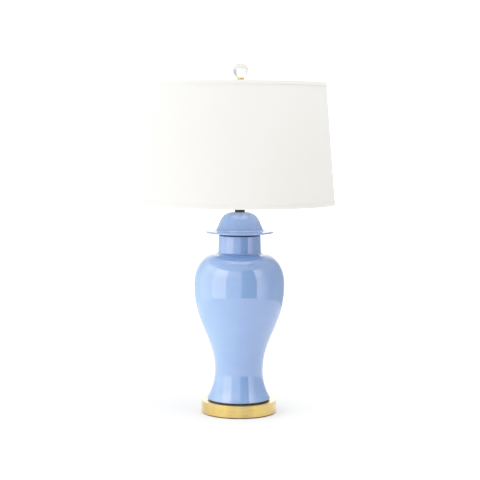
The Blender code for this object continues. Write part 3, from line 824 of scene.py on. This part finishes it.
def strap(name, middle, thickness):
    """A bent metal strip along (x, z, half width) points, with softened edges."""
    bm = bmesh.new()
    uv = bm.loops.layers.uv.new("metres")
    rings, travelled = [], [0.0]
    for i, (x, z, half) in enumerate(middle):
        before, after = middle[max(i - 1, 0)], middle[min(i + 1, len(middle) - 1)]
        along = Vector((after[0] - before[0], after[1] - before[1])).normalized()
        dx, dz = -along.y * thickness / 2, along.x * thickness / 2
        outer, inner = (x + dx, z + dz), (x - dx, z - dz)
        corners = ((outer, -half), (outer, half), (inner, half), (inner, -half))
        rings.append([bm.verts.new((across, y, up)) for (across, up), y in corners])
        travelled.append(travelled[-1] + math.dist((x, z), before[:2]))
    for i in range(len(rings) - 1):
        for k in range(4):
            j = (k + 1) % 4
            face = bm.faces.new((rings[i][k], rings[i][j], rings[i + 1][j], rings[i + 1][k]))
            for loop, v in zip(face.loops, (i, i, i + 1, i + 1)):
                loop[uv].uv = (loop.vert.co.y, travelled[v])
    bm.faces.new(rings[0])
    bm.faces.new(rings[-1])
    made = mesh_object(name, bm)
    edge = made.modifiers.new("edges", "BEVEL")
    edge.width = 0.25 * MM
    edge.segments = 2
    edge.limit_method = "ANGLE"
    made.modifiers.move(1, 0)  # before the weighted normals
    return made


def harp():
    """The saddle, the bowed wire, its two sleeves and the stud block on top."""
    low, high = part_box("harp_saddle")
    prong_x = high.x - SADDLE_THICKNESS / 2
    level = low.z + SADDLE_THICKNESS / 2
    prong_low = (prong_x, level + 11 * MM)
    bend = bezier((12 * MM, level), (24 * MM, level), (prong_x, level + 2 * MM), prong_low, 14)
    prong = [(prong_x, z) for z in spaced(level + 13 * MM, high.z, 3 * MM)]
    side = []
    for x, z in [(0.01 * MM, level), *bend, *prong]:
        taper = min(max((z - level) / (11 * MM), 0), 1) ** 0.6
        side.append((x, z, (7.5 - 4.9 * taper) * MM))
    middle = [(-x, z, w) for x, z, w in reversed(side)] + side[1:]
    saddle = strap("brass_saddle", middle, SADDLE_THICKNESS)
    bored(saddle, (0, 0, level - 5 * MM), (0, 0, 1), PIPE_HOLE, 10 * MM)
    place(saddle, "lamp_stand", "brass", FITTING, "harp_saddle")

    low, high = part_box("harp_wire")
    wire_radius = high.y
    widest_x = high.x - wire_radius
    top = high.z - wire_radius
    foot_x = 32 * MM
    bow_start, bow_widest = (foot_x, HARP_STRAIGHT_TOP), (widest_x, HARP_WIDEST)
    rising = bezier(bow_start, (foot_x, 545 * MM), (widest_x, 562 * MM), bow_widest, 22)
    closing = bezier(bow_widest, (widest_x, 675 * MM), (40 * MM, top), (HARP_FLAT, top), 26)
    foot = [(foot_x, z) for z in spaced(low.z, HARP_STRAIGHT_TOP, 6 * MM)]
    side = foot + rising[1:] + closing[1:]
    path = [(-x, 0, z) for x, z in side] + [(x, 0, z) for x, z in reversed(side)]
    place(sweep("bowed_harp", path, wire_radius), "lamp_stand", "brass", FITTING, "harp_wire")

    for name in ("left", "right"):
        low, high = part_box(f"harp_sleeve_{name}")
        radius, length = (high.x - low.x) / 2, high.z - low.z
        bore = radius - 0.9 * MM
        corners = [
            (bore, 0, 0.2 * MM),
            (radius, 0, 0.7 * MM),
            (radius, 1.6 * MM, 0.3 * MM),
            (radius - 0.35 * MM, 2.2 * MM, 0.3 * MM),
            (radius - 0.35 * MM, length - 2.2 * MM, 0.3 * MM),
            (radius, length - 1.6 * MM, 0.3 * MM),
            (radius, length, 0.7 * MM),
            (bore, length, 0.2 * MM),
        ]
        at = ((low.x + high.x) / 2, (low.y + high.y) / 2, low.z)
        sleeve = lathe(f"rolled_sleeve_{name}", rounded(corners), SMALL, None, at)
        place(sleeve, f"{name}_sleeve", "brass", FITTING, f"harp_sleeve_{name}")

    radius, bottom, top = ends("harp_stud")
    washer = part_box("spider_washer")[0].z - GAP
    shank = 3.1 * MM
    pitch = 0.94 * MM

    def thread(angle, r, z):
        return -0.3 * MM * (0.5 + 0.5 * math.cos(TAU * z / pitch - angle)) if r == shank else 0

    block = [(0, bottom, 0), (radius, bottom, 0.8 * MM), (radius, washer, 0.8 * MM), (0, washer, 0)]
    outline = [
        *rounded(block)[:-1],
        *[(shank, z) for z in spaced(washer, top - 0.5 * MM, pitch / 6)],
        (shank - 0.5 * MM, top),
        (0, top),
    ]
    place(lathe("stud_block", outline, SMALL, thread), "lamp_stand", "brass", FITTING, "harp_stud")


# ---- the shade ---------------------------------------------------------------------------------


def shade():
    """The cloth, its folded trim bands, the liner, the wire rings and the spider."""
    bottom_radius, bottom, _ = ends("shade_trim_bottom")
    upper_radius, upper, top = ends("shade_trim_top")
    slope = (bottom_radius - upper_radius) / (upper - bottom)

    def at(inset, height):
        return (bottom_radius - slope * (height - bottom) - inset, height)

    def lapped(angle, radius, height):
        """The raised strip where the cloth laps over itself at the back."""
        arc_length = min(angle, TAU - angle) * radius
        return LAP_RISE * min(max((LAP_WIDTH / 2 - arc_length) / (1 * MM), 0), 1)

    fold = CLOTH + GAP
    low, high = bottom + fold, top - fold
    edge = 0.2 * MM

    def layer(name, inset, thickness, offset=None):
        corners = [(inset + thickness, low), (inset, low), (inset, high), (inset + thickness, high)]
        outline = rounded([(*at(i, z), edge) for i, z in corners], 3)
        return lathe(name, outline, FINE * 2, offset)

    cloth = layer("linen_cloth", fold, CLOTH, lapped)
    place(cloth, "shade", "linen", LINEN, "shade_fabric")
    liner_inset = fold + CLOTH + GAP
    place(layer("stiff_liner", liner_inset, LINER), "shade", "styrene", STYRENE, "shade_liner")
    ring_inset = liner_inset + LINER + GAP + RING_WIRE
    lip = ring_inset + RING_WIRE + GAP

    for name, end, up in (("bottom", bottom, 1), ("top", top, -1)):
        def point(inset, rise, rounding):
            return (*at(inset, end + up * rise), rounding)

        corners = [
            point(0, 0, 1.1 * MM),
            point(0, TRIM_HEIGHT - 1.6 * MM, 0.4 * MM),
            point(-0.15 * MM, TRIM_HEIGHT - 1.2 * MM, 0.3 * MM),
            point(-0.15 * MM, TRIM_HEIGHT, 0.3 * MM),
            point(CLOTH, TRIM_HEIGHT, 0.1 * MM),
            point(CLOTH, CLOTH, 0.4 * MM),
            point(lip, CLOTH, 0.6 * MM),
            point(lip, TRIM_LIP, 0.1 * MM),
            point(lip + CLOTH, TRIM_LIP, 0.2 * MM),
            point(lip + CLOTH, 0, 1.1 * MM),
        ]
        band = lathe(f"folded_trim_{name}", rounded(corners), FINE * 2)
        place(band, "shade", "linen", LINEN_BIAS, f"shade_trim_{name}")
        height = end + up * (fold + RING_WIRE)
        section = arc(at(ring_inset, height), RING_WIRE, 0, 330, 11)
        ring = lathe(f"wire_ring_{name}", section, FINE)
        place(ring, "shade", "brass", FITTING, f"shade_ring_{name}")

    washer_radius, washer_low, washer_high = ends("spider_washer")
    hole = 3.4 * MM
    soft = 0.4 * MM
    corners = [
        (hole, washer_low, soft),
        (washer_radius, washer_low, soft),
        (washer_radius, washer_high, soft),
        (hole, washer_high, soft),
    ]
    place(lathe("spider_ring", rounded(corners), SMALL), "shade", "brass", FITTING, "spider_washer")
    arm_radius = 1.5 * MM
    bend = 6 * MM
    reach = -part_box("spider_arm_front")[0].y - arm_radius
    for name, angle in (("front", 270), ("left", 150), ("right", 30)):
        arm_low, arm_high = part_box(f"spider_arm_{name}")
        level = arm_low.z + arm_radius
        corner = bezier((reach - bend, level), (reach, level), (reach, level), (reach, level + bend), 10)
        run = [(r, level) for r in spaced(washer_radius - 0.2 * MM, reach - bend, 8 * MM)]
        run += corner[1:] + [(reach, arm_high.z)]
        a = math.radians(angle)
        path = [(r * math.cos(a), r * math.sin(a), z) for r, z in run]
        arm = sweep(f"spider_rod_{name}", path, arm_radius, 16)
        place(arm, "shade", "brass", FITTING, f"spider_arm_{name}")


# ---- the finial --------------------------------------------------------------------------------


def finial():
    """The turned brass base with its cup, and the clear ball."""
    ball_radius, ball_low, ball_high = ends("finial_ball")
    centre = (ball_low + ball_high) / 2
    ball = [(0, -ball_radius), *arc((0, 0), ball_radius, -90, 90, 64)[1:-1], (0, ball_radius)]
    glass = lathe("glass_ball", ball, ROUND, None, (0, 0, centre))
    place(glass, "finial", "clear_glass", CLEAR, "finial_ball")

    radius, bottom, top = ends("finial_base")
    cup = arc((0, centre), ball_radius + 0.15 * MM, -90, -64.5, 8)
    rim = cup[-1]
    bore, bore_top = 3.4 * MM, bottom + 8.6 * MM
    corners = [
        (bore, bottom, 0.3 * MM),
        (radius, bottom, 0.6 * MM),
        (radius, bottom + 2.5 * MM, 0.8 * MM),
        (5.6 * MM, bottom + 5 * MM, 1.2 * MM),
        (4.6 * MM, bottom + 9 * MM, 2 * MM),
        (5.0 * MM, bottom + 12.5 * MM, 0.4 * MM),
        (6.4 * MM, bottom + 13.2 * MM, 0.5 * MM),
        (6.4 * MM, bottom + 14.6 * MM, 0.5 * MM),
        (5.4 * MM, bottom + 15.4 * MM, 0.6 * MM),
        (rim[0] + 0.7 * MM, top - 2.4 * MM, 1.2 * MM),
        (rim[0] + 0.7 * MM, top, 0.3 * MM),
    ]
    outline = [(0, bore_top), (bore, bore_top), *rounded(corners), *reversed(cup)]
    outline[-1] = (0, outline[-1][1])
    place(lathe("turned_finial_base", outline, ROUND), "finial", "brass", BRASS, "finial_base")


def hidden_fittings():
    """Materials for the CAD nodes that keep their shape."""
    looks = {
        "pipe_washer": STEEL,
        "pipe_nut": STEEL,
        "lamp_pipe": STEEL,
        "socket_insulator": FIBRE,
        "socket_core": PHENOLIC,
        "screw_shell": CAD_BRASS,
        "centre_contact": CAD_BRASS,
        "terminal_screw_left": CAD_BRASS,
        "terminal_screw_right": CAD_BRASS,
        "switch_stem": CAD_BRASS,
    }
    for name, look in looks.items():
        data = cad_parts[name].data
        data.materials.clear()
        data.materials.append(look)


# ---- the stage ---------------------------------------------------------------------------------


def stage():
    """A plain pale floor."""
    bm = bmesh.new()
    bmesh.ops.create_circle(bm, cap_ends=True, radius=FLOOR_RADIUS, segments=128)
    mesh = bpy.data.meshes.new("floor")
    bm.to_mesh(mesh)
    bm.free()
    floor = bpy.data.objects.new("floor", mesh)
    floor.location.z = -0.2 * MM
    bpy.context.scene.collection.objects.link(floor)
    values = {
        "Base Color": (0.86, 0.86, 0.86, 1.0),
        "Roughness": 0.9,
        "Specular IOR Level": 0.0,
        "Emission Color": (1.0, 1.0, 1.0, 1.0),
        "Emission Strength": 0.05,
    }
    made, _, _ = new_look("pale_floor", values)
    mesh.materials.append(made)


def studio():
    """Soft light from all round: a tall bright panel on the left, a dimmer one on the right, a dark gap
    between them beside the camera, and a bright ceiling. The camera itself sees plain white."""
    world = bpy.data.worlds.new("studio")
    bpy.context.scene.world = world
    world.use_nodes = True
    tree = world.node_tree
    background = tree.nodes["Background"]
    direction = node(tree, "ShaderNodeTexCoord").outputs["Generated"]
    split = node(tree, "ShaderNodeSeparateXYZ", {0: direction}).outputs
    back = math_node(tree, "MULTIPLY", split["Y"], -1.0)
    around = math_node(tree, "ARCTAN2", split["X"], back)
    share_round = {0: around, 1: 1 / TAU, 2: 0.5}
    turn = node(tree, "ShaderNodeMath", share_round, operation="MULTIPLY_ADD").outputs["Value"]
    # (degrees to the right of the camera, as seen from the lamp; brightness)
    levels = [
        (-180, 1.7), (-164, 1.4), (-148, 0.9), (-126, 1.0), (-110, 1.6), (-76, 1.65), (-72, 2.4), (-35, 2.3),
        (-33, 1.1), (5, 1.05), (8, 0.2), (44, 0.2), (47, 1.8), (62, 1.5), (80, 0.75), (150, 0.6), (164, 1.3),
        (180, 1.7),
    ]
    peak = max(level for _, level in levels)
    ring = node(tree, "ShaderNodeValToRGB", {0: turn})
    stops = ring.color_ramp.elements
    while len(stops) < len(levels):
        stops.new(0.5)
    for stop, (degrees, level) in zip(stops, levels):
        stop.position = degrees / 360 + 0.5
        stop.color = (*[level / peak] * 3, 1.0)
    # The panels are brighter towards their tops.
    gain = remap(tree, split["Z"], 0.35, 0.5, peak, peak * 1.3)
    level = math_node(tree, "MULTIPLY", ring.outputs["Color"], gain)
    # (sine of the elevation, where the next band has taken over; that band's brightness)
    for begin, full, brightness in ((-0.27, -0.3, 1.7), (0.68, 0.72, 0.6), (0.84, 0.88, 1.9)):
        share = remap(tree, split["Z"], begin, full)
        level = node(tree, "ShaderNodeMix", {0: share, 2: level, 3: brightness}).outputs[0]
    seen = node(tree, "ShaderNodeLightPath").outputs["Is Camera Ray"]
    shown = math_node(tree, "MAXIMUM", level, math_node(tree, "MULTIPLY", seen, 2.0))
    tree.links.new(shown, background.inputs["Strength"])
    background.inputs["Color"].default_value = (1.0, 1.0, 1.0, 1.0)


def film():
    """A photograph's tone curve: straight up to the mid tones, then a soft shoulder up to white."""
    view = bpy.context.scene.view_settings
    view.view_transform = "Standard"
    view.use_curve_mapping = True
    curves = view.curve_mapping
    curves.white_level = [FILM_WHITE] * 3
    # (light in the scene, brightness in the picture)
    for light, shown in ((0.25, 0.25), (0.5, 0.5), (0.7, 0.695), (0.85, 0.825), (1.0, 0.925), (1.12, 0.985)):
        curves.curves[3].points.new(light / FILM_WHITE, shown)
    curves.update()


def soft_light(name, where, target, size, power, spread):
    """A soft light that the camera and the reflections don't show. The power is in watts."""
    data = bpy.data.lights.new(name, "AREA")
    data.size = size
    data.energy = power
    data.spread = spread
    made = bpy.data.objects.new(name, data)
    made.location = where
    made.rotation_euler = (Vector(target) - Vector(where)).to_track_quat("-Z", "Y").to_euler()
    made.visible_glossy = False
    made.visible_camera = False
    bpy.context.scene.collection.objects.link(made)


def camera():
    """The camera, in front of the lamp, with everything in focus."""
    data = bpy.data.cameras.new("camera")
    data.lens = CAMERA_LENS
    data.clip_end = 100
    made = bpy.data.objects.new("camera", data)
    made.location = CAMERA_PLACE
    level = Matrix.Rotation(math.pi / 2 - CAMERA_TILT, 3, "X")
    made.rotation_euler = (level @ Matrix.Rotation(CAMERA_ROLL, 3, "Z")).to_euler()
    bpy.context.scene.collection.objects.link(made)
    bpy.context.scene.camera = made


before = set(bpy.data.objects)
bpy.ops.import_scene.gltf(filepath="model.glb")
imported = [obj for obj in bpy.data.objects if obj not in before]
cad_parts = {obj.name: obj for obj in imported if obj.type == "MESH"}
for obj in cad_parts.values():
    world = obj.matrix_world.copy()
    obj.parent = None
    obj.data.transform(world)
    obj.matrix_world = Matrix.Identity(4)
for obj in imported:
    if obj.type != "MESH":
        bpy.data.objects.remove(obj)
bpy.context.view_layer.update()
camera()
base()
jar()
lid()
socket()
bulb()
harp()
shade()
finial()
hidden_fittings()
stage()
studio()
film()
soft_light(
    "low_left_light",
    where=(-0.72, -0.4, 0.12),
    target=(0, 0, 0.17),
    size=0.25,
    power=0.27,
    spread=math.radians(60),
)
soft_light(
    "high_right_light",
    where=(0.6, -0.42, 1.95),
    target=(0.1, -0.05, 0.6),
    size=0.8,
    power=9.0,
    spread=math.pi,
)
